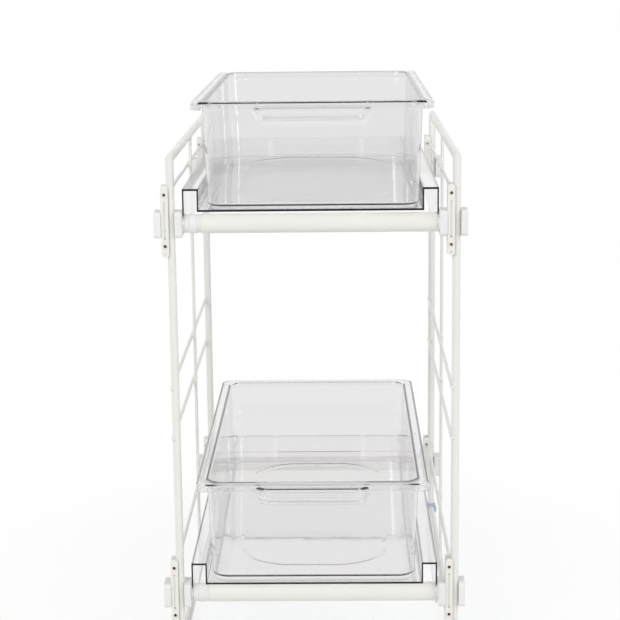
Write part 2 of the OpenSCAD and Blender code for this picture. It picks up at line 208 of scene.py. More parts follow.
class OrganizerFinishes(PropertyGroup):
    """Colours of the finishes"""

    powder: FloatVectorProperty(
        name="Powder Coat", description="Warm white coat of the rods, straps and tubes",
        subtype="COLOR", size=3, min=0.0, max=1.0, default=(0.80, 0.795, 0.755))
    moulded: FloatVectorProperty(
        name="Moulded Plastic", description="White plastic of the connectors and end plugs",
        subtype="COLOR", size=3, min=0.0, max=1.0, default=(0.80, 0.80, 0.785))
    clear_face: FloatVectorProperty(
        name="Clear Face", description="Colour that light takes on at each face of the clear plastic",
        subtype="COLOR", size=3, min=0.0, max=1.0, default=(0.994, 0.990, 0.990))
    # Painted shade: a dark violet line painted along the lower edge of a bin, in place of the shade that
    # its rounded bottom edge takes
    painted_edge_shade: FloatVectorProperty(
        name="Clear Edge", description="Violet that shows along the lower edge of a bin",
        subtype="COLOR", size=3, min=0.0, max=1.0, default=(0.42, 0.40, 0.50))
    clear_core: FloatVectorProperty(
        name="Clear Core", description="Colour that long paths through the clear plastic take on",
        subtype="COLOR", size=3, min=0.0, max=1.0, default=(0.55, 0.54, 0.61))
    clear_density: FloatProperty(
        name="Clear Density", description="How fast the clear plastic darkens with thickness, per metre",
        default=14.0, min=0.0, max=200.0)
    brass: FloatVectorProperty(
        name="Rivet Brass", description="Dull brass of the hollow rivets",
        subtype="COLOR", size=3, min=0.0, max=1.0, default=(0.46, 0.25, 0.13))
    rubber: FloatVectorProperty(
        name="Foot Rubber", description="Bluish rubber of the feet",
        subtype="COLOR", size=3, min=0.0, max=1.0, default=(0.52, 0.60, 0.72))


class Value:
    """One value in a shader, whose arithmetic adds Math nodes."""

    def __init__(self, finish, socket):
        self.finish = finish
        self.socket = socket

    def math(self, operation, first, second):
        return self.finish.math(operation, first, second)

    def __add__(self, other):
        return self.math("ADD", self, other)

    def __radd__(self, other):
        return self.math("ADD", other, self)

    def __sub__(self, other):
        return self.math("SUBTRACT", self, other)

    def __rsub__(self, other):
        return self.math("SUBTRACT", other, self)

    def __mul__(self, other):
        return self.math("MULTIPLY", self, other)

    def __rmul__(self, other):
        return self.math("MULTIPLY", other, self)

    def __truediv__(self, other):
        return self.math("DIVIDE", self, other)

    def __rtruediv__(self, other):
        return self.math("DIVIDE", other, self)

    def __pow__(self, other):
        return self.math("POWER", self, other)

    def largest(self, other):
        return self.math("MAXIMUM", self, other)

    def smallest(self, other):
        return self.math("MINIMUM", self, other)


class Finish:
    """A material or world whose nodes are added one by one."""

    def __init__(self, name, owner=None):
        self.owner = owner or bpy.data.materials.new(name)
        self.owner.use_nodes = True
        self.tree = self.owner.node_tree
        self.tree.nodes.clear()
        kind = "ShaderNodeOutputWorld" if owner else "ShaderNodeOutputMaterial"
        self.end = self.tree.nodes.new(kind)

    def add(self, kind, settings=None, values=None, output=0):
        """Adds a node, applies its settings first, then its values or links, and returns an output."""
        node = self.tree.nodes.new(kind)
        for key, value in (settings or {}).items():
            if key == "stops":
                self.set_stops(node.color_ramp, value)
            else:
                setattr(node, key, value)
        for key, value in (values or {}).items():
            self.put(node.inputs[key], value)
        return Value(self, node.outputs[output])

    def math(self, operation, first, second):
        return self.add("ShaderNodeMath", {"operation": operation}, {0: first, 1: second})

    def set_stops(self, ramp, stops):
        while len(ramp.elements) < len(stops):
            ramp.elements.new(0.5)
        for element, (place, colour) in zip(ramp.elements, stops):
            element.position = place
            element.color = colour

    def put(self, socket, value):
        if isinstance(value, Value):
            self.tree.links.new(value.socket, socket)
        elif hasattr(socket.default_value, "__len__") and hasattr(value, "__len__"):
            filled = list(value) + [1.0] * (len(socket.default_value) - len(value))
            socket.default_value = filled
        else:
            socket.default_value = value

    def light_path(self):
        """The outputs of one Light Path node by name."""
        node = self.tree.nodes.new("ShaderNodeLightPath")
        return {output.name: Value(self, output) for output in node.outputs}

    def object_place(self):
        return self.add("ShaderNodeTexCoord", output="Object")

    def noise(self, place, scale, detail=2.0, roughness=0.5):
        return self.add("ShaderNodeTexNoise", None,
                        {"Vector": place, "Scale": scale, "Detail": detail, "Roughness": roughness})

    def ramped(self, value, start, stop, low=0.0):
        """Zero, or low, up to start, and one from stop on."""
        return self.add("ShaderNodeMapRange", {"interpolation_type": "SMOOTHSTEP"},
                        {"Value": value, "From Min": start, "From Max": stop, "To Min": low})

    def stretched(self, place, scale):
        return self.add("ShaderNodeMapping", None, {"Vector": place, "Scale": scale})

    def blend_colours(self, amount, first, second):
        return self.add("ShaderNodeMix", {"data_type": "RGBA"}, {0: amount, 6: first, 7: second}, 2)

    def bump(self, height, strength, distance):
        return self.add("ShaderNodeBump", None,
                        {"Height": height, "Strength": strength, "Distance": distance})

    def shaded(self, values):
        return self.add("ShaderNodeBsdfPrincipled", None, values)

    def close(self, surface, volume=None):
        self.tree.links.new(surface.socket, self.end.inputs["Surface"])
        if volume:
            self.tree.links.new(volume.socket, self.end.inputs["Volume"])
        return self.owner


def scaled(colour, factor):
    """A colour made lighter or darker."""
    return tuple(min(1.0, part * factor) for part in colour)


def powder_coat(name, looks):
    """Semi-gloss powder coat with a fine orange peel and faint handling marks."""
    finish = Finish(name)
    place = finish.object_place()
    peel = finish.noise(place, 900.0, 1.0)
    cloud = finish.noise(place, 26.0, 3.0, 0.6)
    specks = finish.noise(place, 260.0, 2.0, 0.7)
    colour = finish.blend_colours(cloud, scaled(looks.powder, 0.965), scaled(looks.powder, 1.03))
    return finish.close(finish.shaded({
        "Base Color": colour,
        "Roughness": 0.27 + cloud * 0.08 + specks * 0.06,
        "Normal": finish.bump(peel + cloud * 0.4, 0.22, 0.00012),
        "Coat Weight": 0.15,
        "Coat Roughness": 0.2,
    }))


def moulded_white(name, looks):
    """Satin white plastic with a spark-eroded grain and slight flow marks."""
    finish = Finish(name)
    place = finish.object_place()
    grain = finish.noise(place, 1500.0, 2.0, 0.6)
    flow = finish.noise(finish.stretched(place, (60.0, 20.0, 20.0)), 1.0, 3.0, 0.6)
    colour = finish.blend_colours(flow, scaled(looks.moulded, 0.96), scaled(looks.moulded, 1.02))
    return finish.close(finish.shaded({
        "Base Color": colour,
        "Roughness": 0.42 + grain * 0.1,
        "Normal": finish.bump(grain + flow * 0.6, 0.18, 0.00008),
    }))


def clear_plastic(name, looks):
    """Clear moulded plastic: faint waves in the faces, a dark violet core that darkens long paths through
    it, and a painted dark violet line of shade wherever the piece's "edge" attribute is set.
    """
    finish = Finish(name)
    place = finish.object_place()
    wave = finish.noise(finish.stretched(place, (22.0, 22.0, 5.0)), 1.0, 2.0, 0.5)
    scuff = finish.noise(finish.stretched(place, (900.0, 120.0, 900.0)), 1.0, 3.0, 0.7)
    # The "edge" attribute lays a painted dark violet line of shade into the base colour
    edge = finish.add("ShaderNodeAttribute", {"attribute_name": "edge"}, output="Fac")
    plastic = finish.shaded({
        "Base Color": finish.blend_colours(edge, looks.clear_face, looks.painted_edge_shade),
        "Roughness": (scuff - 0.62).largest(0.0) * 0.1,
        "Normal": finish.bump(wave, 0.012, 0.004),
        "IOR": 1.5,
        "Transmission Weight": 1.0,
    })
    clear = finish.add("ShaderNodeBsdfTransparent", None, {"Color": (0.9, 0.9, 0.9)})
    surface = finish.add("ShaderNodeMixShader", None,
                         {0: finish.light_path()["Is Shadow Ray"], 1: plastic, 2: clear})
    core = finish.add("ShaderNodeVolumeAbsorption", None,
                      {"Color": looks.clear_core, "Density": looks.clear_density})
    return finish.close(surface, core)


def rivet_brass(name, looks):
    """Tarnished brass in the bore of a rivet, and the coat that was sprayed over its rolled head."""
    finish = Finish(name)
    place = finish.object_place()
    tarnish = finish.noise(place, 700.0, 3.0, 0.7)
    coated = finish.add("ShaderNodeAttribute", {"attribute_name": "coated"}, output="Fac")
    metal = finish.blend_colours(tarnish, scaled(looks.brass, 0.35), scaled(looks.brass, 0.8))
    coat = finish.blend_colours(tarnish, scaled(looks.powder, 0.97), (0.80, 0.69, 0.62))
    return finish.close(finish.shaded({
        "Base Color": finish.blend_colours(coated, metal, coat),
        "Metallic": 0.8 - coated * 0.8,
        "Roughness": 0.3 + tarnish * 0.25,
        "Normal": finish.bump(tarnish, 0.15, 0.0001),
    }))


def foot_rubber(name, looks):
    """Bluish rubber that lets a little light in."""
    finish = Finish(name)
    place = finish.object_place()
    grain = finish.noise(place, 800.0, 2.0, 0.6)
    cloud = finish.noise(place, 90.0, 2.0, 0.5)
    colour = finish.blend_colours(cloud, scaled(looks.rubber, 0.9), scaled(looks.rubber, 1.12))
    return finish.close(finish.shaded({
        "Base Color": colour,
        "Roughness": 0.36 + grain * 0.14,
        "Normal": finish.bump(grain, 0.2, 0.0001),
        "Transmission Weight": 0.25,
        "IOR": 1.45,
    }))


def white_mask(rays):
    """One for rays that see the white room itself, and zero for those that light the organizer."""
    return rays["Is Camera Ray"].largest(rays["Is Glossy Ray"]).largest(rays["Is Transmission Ray"])


def white_level(rays, room):
    """Paper white, a little less through clear plastic, and the brightness of the room in a reflection."""
    reflected = rays["Glossy Depth"].smallest(1.0)
    through = 1.0 - rays["Is Transmission Ray"] * (1.0 - WHITE_THROUGH_PLASTIC)
    return through * (1.0 - reflected * (1.0 - room))


def studio_floor():
    """White paper sweep: lit near the organizer so that it takes a shadow, plain white further out."""
    finish = Finish("studio_floor")
    place = finish.object_place()
    distance = finish.add("ShaderNodeVectorMath", {"operation": "LENGTH"}, {0: place}, "Value")
    far = finish.ramped(distance, 0.2, FLOOR_RADIUS * 0.4, 0.82)
    fibre = finish.noise(place, 60.0, 3.0, 0.6)
    tone = finish.blend_colours(fibre, (0.955, 0.955, 0.95), (0.975, 0.975, 0.97))
    paper = finish.shaded({"Base Color": tone, "Roughness": 0.9})
    rays = finish.light_path()
    depth = finish.add("ShaderNodeSeparateXYZ", None, {0: place}, "Y")
    room = finish.ramped(depth, -0.5, -0.1, 0.9)
    white = finish.add("ShaderNodeEmission", None,
                       {"Color": (1.0, 1.0, 1.0), "Strength": white_level(rays, room)})
    return finish.close(finish.add("ShaderNodeMixShader", None,
                                   {0: white_mask(rays) * far, 1: paper, 2: white}))


MAKERS = {
    "powder_coat": powder_coat,
    "moulded_plastic": moulded_white,
    "clear_plastic": clear_plastic,
    "brass": rivet_brass,
    "foot_rubber": foot_rubber,
}


def finish_for(slot):
    """The finish of a material slot, made the first time that it is asked for."""
    name = slot + "_finish"
    if name not in bpy.data.materials:
        MAKERS[slot](name, bpy.context.scene.organizer_finishes)
    return bpy.data.materials[name]


def dress_node(node, material):
    """Gives a CAD node that stays visible its finish."""
    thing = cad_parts[node]
    thing.data.materials.clear()
    thing.data.materials.append(finish_for(material))


def new_piece(name, mesh, material, body, replaced):
    """A visible piece that rides on a body, in place of the CAD nodes that it replaces."""
    piece = bpy.data.objects.new(name, mesh)
    bpy.context.scene.collection.objects.link(piece)
    if material:
        mesh.materials.clear()
        mesh.materials.append(finish_for(material))
    if replaced:
        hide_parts(*replaced)
    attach(piece, body)
    return piece


def solid_copy(node):
    """A clean mesh of a CAD node: its corners joined and its flat faces made whole."""
    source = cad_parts[node]
    form = bmesh.new()
    form.from_mesh(source.data)
    bmesh.ops.transform(form, matrix=source.matrix_world, verts=form.verts)
    bmesh.ops.remove_doubles(form, verts=form.verts, dist=1e-6)
    bmesh.ops.dissolve_limit(form, angle_limit=math.radians(0.5), verts=form.verts,
                             edges=form.edges, delimit={"NORMAL"})
    mesh = bpy.data.meshes.new(node)
    form.to_mesh(mesh)
    form.free()
    return mesh


def rounded_copy(node, name, material, edge, steps, angle):
    """A piece of the frame in place of a CAD node, with its sharp edges rounded."""
    piece = new_piece(name, solid_copy(node), material, FRAME_BODY, [node])
    bevel = piece.modifiers.new("edges", "BEVEL")
    bevel.width = edge
    bevel.segments = steps
    bevel.limit_method = "ANGLE"
    bevel.angle_limit = math.radians(angle)
    bevel.use_clamp_overlap = True
    for face in piece.data.polygons:
        face.use_smooth = True
    flatten_faces(piece)
    return piece


def flatten_faces(piece):
    """Keeps large faces flat, so that only the small faces of the rounded edges bend the light."""
    even = piece.modifiers.new("flat_faces", "WEIGHTED_NORMAL")
    even.mode = "FACE_AREA"
    even.weight = 100
    even.keep_sharp = False


class BinShape:
    """The loops of a bin, from the middle of its underside over the rim to the middle of its floor."""

    def __init__(self, sizes, low_corner):
        self.s = sizes
        self.height = BIN.z
        self.half_top = BIN.x / 2 - sizes.rim_width
        self.length = BIN.y
        self.low_corner = low_corner
        self.slope = sizes.wall_lean / (self.height - sizes.panel_drop)
        self.loops = []
        self.edges = []

    def wall_half(self, z):
        """Half the width over the side walls at a height."""
        return self.half_top - self.slope * (self.height - z)

    def front_columns(self):
        """Places along the front as shares of its straight part, crowded at the ends of the pull."""
        straight = self.wall_half(self.height) - self.s.corner_radius
        ends = [(self.s.pull_half + 0.001 * step) / straight for step in PULL_END_COLUMNS]
        right = sorted(ends + list(MIDDLE_COLUMNS))
        return [-place for place in reversed(right)] + [0.0] + right

    def add_loop(self, half_w, front, back, radius, z, pull=0.0, grow=0.0, edge=0.0):
        """One closed loop of points. Front and back are the places of its ends along y."""
        radius = max(radius, SMALLEST_RADIUS)
        straight = half_w - radius
        flank = back - front - 2 * radius
        points = [self.pulled(share * straight, front, z, pull, grow) for share in self.front_columns()]
        points += self.corner(straight, front + radius, radius, z, -90.0)
        points += [(half_w, front + radius + flank * k / SIDE_STEPS, z) for k in range(1, SIDE_STEPS)]
        points += self.corner(straight, back - radius, radius, z, 0.0)
        points += [(straight - 2 * straight * k / REAR_STEPS, back, z) for k in range(1, REAR_STEPS)]
        points += self.corner(-straight, back - radius, radius, z, 90.0)
        points += [(-half_w, back - radius - flank * k / SIDE_STEPS, z) for k in range(1, SIDE_STEPS)]
        points += self.corner(-straight, front + radius, radius, z, 180.0)
        self.loops.append(points)
        self.edges.append(edge)

    def corner(self, x, y, radius, z, start):
        """Points around one upright corner, from a start angle on."""
        steps = self.s.corner_steps
        angles = [math.radians(start + 90.0 * i / steps) for i in range(steps + 1)]
        return [(x + radius * math.cos(angle), y + radius * math.sin(angle), z) for angle in angles]

    def pulled(self, x, y, z, amount, grow):
        """Pushes a point of the front wall in, to form the finger pull, which narrows downwards."""
        below = (self.height - self.s.rim_lip - z) / self.s.pull_height
        end = self.s.pull_half + grow - self.s.pull_taper * min(1.0, max(0.0, below))
        share = min(1.0, max(0.0, (end - abs(x)) / self.s.pull_run))
        smooth = share * share * (3.0 - 2.0 * share)
        return x, y + self.s.pull_depth * amount * smooth, z

    def wall_loop(self, z, inset, amount=0.0, grow=0.0, rounding=0.0, edge=0.0):
        """A loop of the outer walls, or of the inner ones where it is inset by their thickness."""
        half = self.wall_half(z) - inset - rounding
        front = self.s.rim_width + self.slope * (self.height - z) + inset + rounding
        radius = self.s.corner_radius - inset - rounding
        self.add_loop(half, front, self.length - front, radius, z, amount, grow, edge)

    def panel_loop(self, shrink, z):
        """A loop around the sunk panel."""
        bottom = self.s.rim_width + self.s.wall_lean
        front = bottom + self.s.panel_front + shrink
        back = self.length - bottom - self.s.panel_rear - shrink
        half = self.half_top - self.s.wall_lean - self.s.panel_side - shrink
        self.add_loop(half, front, back, self.s.panel_radius - shrink, z)

    def outside(self):
        """The underside, and the outer walls up to the rim."""
        s = self.s
        drop = s.panel_drop
        for shrink, share in PANEL_STEP:
            self.panel_loop(shrink, drop * share)
        # The loops around the bottom rounding carry the painted dark line of shade
        self.wall_loop(drop, 0.0, rounding=s.bottom_radius + PAINTED_SHADE_FADE)
        for i, edge in enumerate(PAINTED_EDGE_SHADE_AMOUNTS):
            angle = math.radians(90.0 * i / BOTTOM_STEPS)
            fall = s.bottom_radius * (1.0 - math.sin(angle))
            rise = s.bottom_radius * (1.0 - math.cos(angle))
            self.wall_loop(drop + rise, 0.0, rounding=fall, edge=edge)
        low = self.height - s.rim_lip - s.pull_height
        top = self.height - s.rim_lip
        for height in PLAIN_WALL_HEIGHTS:
            self.wall_loop(height, 0.0)
        for rise, amount in PULL_LEDGE:
            self.wall_loop(low + rise, 0.0, amount)
        self.wall_loop((low + top) / 2, 0.0, 1.0)
        for rise, amount in reversed(PULL_LEDGE):
            self.wall_loop(top - rise, 0.0, amount)

    def rim(self):
        """Under the rim, down and up its turned edge, and back over its top.

        Each point of the outline is its distance from the outer wall and its height. The small
        steps beside the edges round them.
        """
        s = self.s
        h = self.height
        w = s.rim_width
        t = s.bin_wall
        lip = s.rim_lip
        outline = (
            (0.0, h - t - 0.0012), (0.0003, h - t - 0.0005), (0.0011, h - t),
            (w - t - 0.0010, h - t), (w - t - 0.0003, h - t - 0.0003), (w - t, h - t - 0.0010),
            (w - t, h - lip + 0.0006), (w - t + 0.0003, h - lip + 0.0001), (w - t + 0.0007, h - lip),
            (w - 0.0007, h - lip), (w - 0.0002, h - lip + 0.0002), (w, h - lip + 0.0007),
            (w, h - 0.0020), (w - 0.0002, h - 0.0013), (w - 0.0006, h - 0.0006), (w - 0.0013, h - 0.0002),
            (w - 0.0020, h),
            (w * 0.5, h), (0.0, h), (-t + 0.0012, h), (-t + 0.0004, h - 0.0003), (-t, h - 0.0011),
        )
        for out, z in outline:
            share = max(0.0, out / w)
            radius = s.corner_radius + (s.rim_corner - s.corner_radius) * share + min(0.0, out)
            half = self.half_top + out
            front = w - out
            self.add_loop(half, front, self.length - front, radius, z)

    def inside(self):
        """The inner walls from the rim down, and the floor."""
        s = self.s
        t = s.bin_wall
        drop = s.panel_drop
        low = self.height - s.rim_lip - s.pull_height - t
        top = self.height - s.rim_lip + t
        for rise, amount in PULL_LEDGE:
            self.wall_loop(top - rise, t, amount, t)
        self.wall_loop((low + top) / 2, t, 1.0, t)
        for rise, amount in reversed(PULL_LEDGE):
            self.wall_loop(low + rise, t, amount, t)
        for height in reversed(PLAIN_WALL_HEIGHTS):
            self.wall_loop(height, t)
        inner = s.bottom_radius - t
        for i in range(BOTTOM_STEPS, -1, -1):
            angle = math.radians(90.0 * i / BOTTOM_STEPS)
            fall = inner * (1.0 - math.sin(angle))
            rise = inner * (1.0 - math.cos(angle))
            self.wall_loop(drop + t + rise, t, rounding=fall)
        for shrink, share in reversed(PANEL_STEP):
            self.panel_loop(shrink, t + drop * share)

    def mesh(self, name):
        """One closed mesh, whose "edge" attribute tells where a painted dark line of shade lies on the
        plastic.
        """
        self.outside()
        self.rim()
        self.inside()
        form = bmesh.new()
        middle = self.low_corner + Vector((BIN.x / 2, 0.0, 0.0))
        rows = [[form.verts.new(middle + Vector(point)) for point in loop] for loop in self.loops]
        for low, high in zip(rows, rows[1:]):
            for i in range(len(low)):
                j = (i + 1) % len(low)
                form.faces.new((low[i], low[j], high[j], high[i]))
        form.faces.new(list(reversed(rows[0])))
        form.faces.new(rows[-1])
        bmesh.ops.recalc_face_normals(form, faces=form.faces)
        for face in form.faces:
            face.smooth = True
        mesh = bpy.data.meshes.new(name)
        form.to_mesh(mesh)
        form.free()
        # Painted shade: how strongly each point takes the dark line along the bottom edge
        painted_shade_amounts = [edge for loop, edge in zip(self.loops, self.edges) for _ in loop]
        mesh.attributes.new("edge", "FLOAT", "POINT").data.foreach_set("value", painted_shade_amounts)
        return mesh


def new_tree(name, inputs):
    """An empty Geometry Nodes tree with a geometry in and out and named inputs for sizes."""
    tree = bpy.data.node_groups.new(name, "GeometryNodeTree")
    tree.interface.new_socket("Geometry", in_out="INPUT", socket_type="NodeSocketGeometry")
    for label, kind, value in inputs:
        socket = tree.interface.new_socket(label, in_out="INPUT", socket_type=kind)
        if value is not None:
            socket.default_value = value
    tree.interface.new_socket("Geometry", in_out="OUTPUT", socket_type="NodeSocketGeometry")
    return tree


def tree_node(tree, kind, settings=None, values=None):
    """Adds a node, applies its settings first, then its values or links."""
    node = tree.nodes.new(kind)
    for key, value in (settings or {}).items():
        setattr(node, key, value)
    for key, value in (values or {}).items():
        if isinstance(value, bpy.types.NodeSocket):
            tree.links.new(value, node.inputs[key])
        else:
            node.inputs[key].default_value = value
    return node


def weld_tree():
    """Small uneven beads on every point, the same each run."""
    tree = new_tree("weld_beads", [
        ("Bead Radius", "NodeSocketFloat", 0.002), ("Unevenness", "NodeSocketFloat", 0.2),
        ("Seed", "NodeSocketInt", 7), ("Finish", "NodeSocketMaterial", None)])
    start = tree_node(tree, "NodeGroupInput")
    bead = tree_node(tree, "GeometryNodeMeshIcoSphere", None,
                     {"Radius": start.outputs["Bead Radius"], "Subdivisions": 3})
    spread = tree_node(tree, "ShaderNodeMath", {"operation": "SUBTRACT"},
                       {0: 1.0, 1: start.outputs["Unevenness"]})
    size = tree_node(tree, "FunctionNodeRandomValue", {"data_type": "FLOAT"},
                     {2: spread.outputs[0], 3: 1.0, "Seed": start.outputs["Seed"]})
    stretch = tree_node(tree, "ShaderNodeCombineXYZ", None,
                        {0: size.outputs[1], 1: 1.0, 2: size.outputs[1]})
    put = tree_node(tree, "GeometryNodeInstanceOnPoints", None,
                    {"Points": start.outputs["Geometry"], "Instance": bead.outputs["Mesh"],
                     "Scale": stretch.outputs[0]})
    real = tree_node(tree, "GeometryNodeRealizeInstances", None, {"Geometry": put.outputs[0]})
    smooth = tree_node(tree, "GeometryNodeSetShadeSmooth", None, {"Geometry": real.outputs[0]})
    last = tree_node(tree, "GeometryNodeSetMaterial", None,
                     {"Geometry": smooth.outputs[0], "Material": start.outputs["Finish"]})
    out = tree_node(tree, "NodeGroupOutput")
    tree.links.new(last.outputs[0], out.inputs[0])
    return tree


def rivet_tree():
    """A hollow rivet on every point: a barrel along y and a rolled rim at its front."""
    tree = new_tree("hollow_rivets", [
        ("Barrel Radius", "NodeSocketFloat", 0.0015), ("Barrel Wall", "NodeSocketFloat", 0.0004),
        ("Barrel Length", "NodeSocketFloat", 0.0135), ("Rolled Rim Radius", "NodeSocketFloat", 0.0020),
        ("Rolled Rim Thickness", "NodeSocketFloat", 0.0005), ("Finish", "NodeSocketMaterial", None)])
    start = tree_node(tree, "NodeGroupInput")
    ring = tree_node(tree, "GeometryNodeCurvePrimitiveCircle", {"mode": "RADIUS"},
                     {"Resolution": 28, "Radius": start.outputs["Barrel Radius"]})
    wall = tree_node(tree, "GeometryNodeCurvePrimitiveQuadrilateral", {"mode": "RECTANGLE"},
                     {"Width": start.outputs["Barrel Wall"], "Height": start.outputs["Barrel Length"]})
    barrel = tree_node(tree, "GeometryNodeCurveToMesh", None,
                       {"Curve": ring.outputs[0], "Profile Curve": wall.outputs[0]})
    back = tree_node(tree, "ShaderNodeMath", {"operation": "MULTIPLY"},
                     {0: start.outputs["Barrel Length"], 1: -0.5})
    shift = tree_node(tree, "ShaderNodeCombineXYZ", None, {2: back.outputs[0]})
    moved = tree_node(tree, "GeometryNodeTransform", None,
                      {"Geometry": barrel.outputs[0], "Translation": shift.outputs[0]})
    path = tree_node(tree, "GeometryNodeCurvePrimitiveCircle", {"mode": "RADIUS"},
                     {"Resolution": 28, "Radius": start.outputs["Rolled Rim Radius"]})
    roll = tree_node(tree, "GeometryNodeCurvePrimitiveCircle", {"mode": "RADIUS"},
                     {"Resolution": 12, "Radius": start.outputs["Rolled Rim Thickness"]})
    rolled = tree_node(tree, "GeometryNodeCurveToMesh", None,
                       {"Curve": path.outputs[0], "Profile Curve": roll.outputs[0]})
    coated = tree_node(tree, "GeometryNodeStoreNamedAttribute", {"data_type": "FLOAT", "domain": "POINT"},
                       {"Geometry": rolled.outputs[0], "Name": "coated", "Value": 1.0})
    both = tree_node(tree, "GeometryNodeJoinGeometry")
    tree.links.new(moved.outputs[0], both.inputs[0])
    tree.links.new(coated.outputs[0], both.inputs[0])
    turned = tree_node(tree, "GeometryNodeTransform", None,
                       {"Geometry": both.outputs[0], "Rotation": (math.radians(90.0), 0.0, 0.0)})
    put = tree_node(tree, "GeometryNodeInstanceOnPoints", None,
                    {"Points": start.outputs["Geometry"], "Instance": turned.outputs[0]})
    real = tree_node(tree, "GeometryNodeRealizeInstances", None, {"Geometry": put.outputs[0]})
    smooth = tree_node(tree, "GeometryNodeSetShadeSmooth", None, {"Geometry": real.outputs[0]})
    last = tree_node(tree, "GeometryNodeSetMaterial", None,
                     {"Geometry": smooth.outputs[0], "Material": start.outputs["Finish"]})
    out = tree_node(tree, "NodeGroupOutput")
    tree.links.new(last.outputs[0], out.inputs[0])
    return tree


def grown(name, points, tree, values, body, replaced):
    """Runs a tree on a set of points and keeps the result as one plain mesh."""
    seed = bpy.data.meshes.new(name + "_points")
    seed.from_pydata([tuple(point) for point in points], [], [])
    host = bpy.data.objects.new(name + "_points", seed)
    bpy.context.scene.collection.objects.link(host)
    modifier = host.modifiers.new("grow", "NODES")
    modifier.node_group = tree
    for item in tree.interface.items_tree:
        if item.item_type == "SOCKET" and item.in_out == "INPUT" and item.name in values:
            modifier[item.identifier] = values[item.name]
    view = bpy.context.evaluated_depsgraph_get()
    mesh = bpy.data.meshes.new_from_object(host.evaluated_get(view), depsgraph=view)
    mesh.name = name
    host.modifiers.remove(modifier)
    bpy.data.objects.remove(host)
    bpy.data.meshes.remove(seed)
    return new_piece(name, mesh, None, body, replaced)


class ORGANIZER_OT_stage(Operator):
    """Make the white studio, its soft lamps and the camera"""
    bl_idname = "organizer.stage"
    bl_label = "Studio and Camera"

    def execute(self, context):
        self.make_floor()
        self.make_world(context.scene)
        self.make_lamps()
        self.make_camera(context.scene)
        context.scene.view_settings.view_transform = "Standard"
        return {"FINISHED"}

    def make_floor(self):
        """A round sheet of paper, whose edge is as white as the room around it."""
        form = bmesh.new()
        bmesh.ops.create_circle(form, cap_ends=True, radius=FLOOR_RADIUS, segments=96)
        mesh = bpy.data.meshes.new("floor")
        form.to_mesh(mesh)
        form.free()
        floor = bpy.data.objects.new("floor", mesh)
        bpy.context.scene.collection.objects.link(floor)
        mesh.materials.append(studio_floor())

    def make_world(self, scene):
        """White all round for what is seen straight; a darker room in front and below for reflections."""
        world = bpy.data.worlds.new("studio")
        scene.world = world
        finish = Finish("studio", world)
        rays = finish.light_path()
        place = finish.add("ShaderNodeTexCoord", output="Generated")
        behind = finish.ramped(finish.add("ShaderNodeSeparateXYZ", None, {0: place}, "Y"), -0.3, 0.4)
        above = finish.ramped(finish.add("ShaderNodeSeparateXYZ", None, {0: place}, "Z"), -0.9, -0.4)
        room = (0.7 + 0.3 * behind) * (0.4 + 0.6 * above)
        fill = finish.add("ShaderNodeBackground", None, {"Color": (1.0, 1.0, 1.0), "Strength": FILL_LIGHT})
        white = finish.add("ShaderNodeBackground", None,
                           {"Color": (1.0, 1.0, 1.0), "Strength": white_level(rays, room)})
        finish.close(finish.add("ShaderNodeMixShader", None, {0: white_mask(rays), 1: fill, 2: white}))

    def make_lamps(self):
        """Large soft lamps that all face the middle of the organizer."""
        for name, place, width, height, power in LAMPS:
            lamp = bpy.data.lights.new(name, "AREA")
            lamp.shape = "RECTANGLE"
            lamp.size = width
            lamp.size_y = height
            lamp.energy = power
            holder = bpy.data.objects.new(name, lamp)
            bpy.context.scene.collection.objects.link(holder)
            holder.location = place
            holder.rotation_euler = (LAMP_TARGET - Vector(place)).to_track_quat("-Z", "Y").to_euler()

    def make_camera(self, scene):
        """The camera that took the photograph, as fitted to the rods and tubes in it."""
        ahead = Vector((-math.sin(CAMERA_TURN) * math.cos(CAMERA_PITCH),
                        math.cos(CAMERA_TURN) * math.cos(CAMERA_PITCH), math.sin(CAMERA_PITCH)))
        right = Vector((math.cos(CAMERA_TURN), math.sin(CAMERA_TURN), 0.0))
        up = right.cross(ahead)
        level = math.cos(CAMERA_ROLL) * right + math.sin(CAMERA_ROLL) * up
        upright = -math.sin(CAMERA_ROLL) * right + math.cos(CAMERA_ROLL) * up
        lens = bpy.data.cameras.new("camera")
        lens.sensor_width = SENSOR_WIDTH
        lens.lens = FOCAL_PIXELS / PHOTO_PIXELS * SENSOR_WIDTH
        camera = bpy.data.objects.new("camera", lens)
        scene.collection.objects.link(camera)
        pose = Matrix((level, upright, -ahead)).transposed().to_4x4()
        pose.translation = CAMERA_PLACE
        camera.matrix_world = pose
        scene.camera = camera


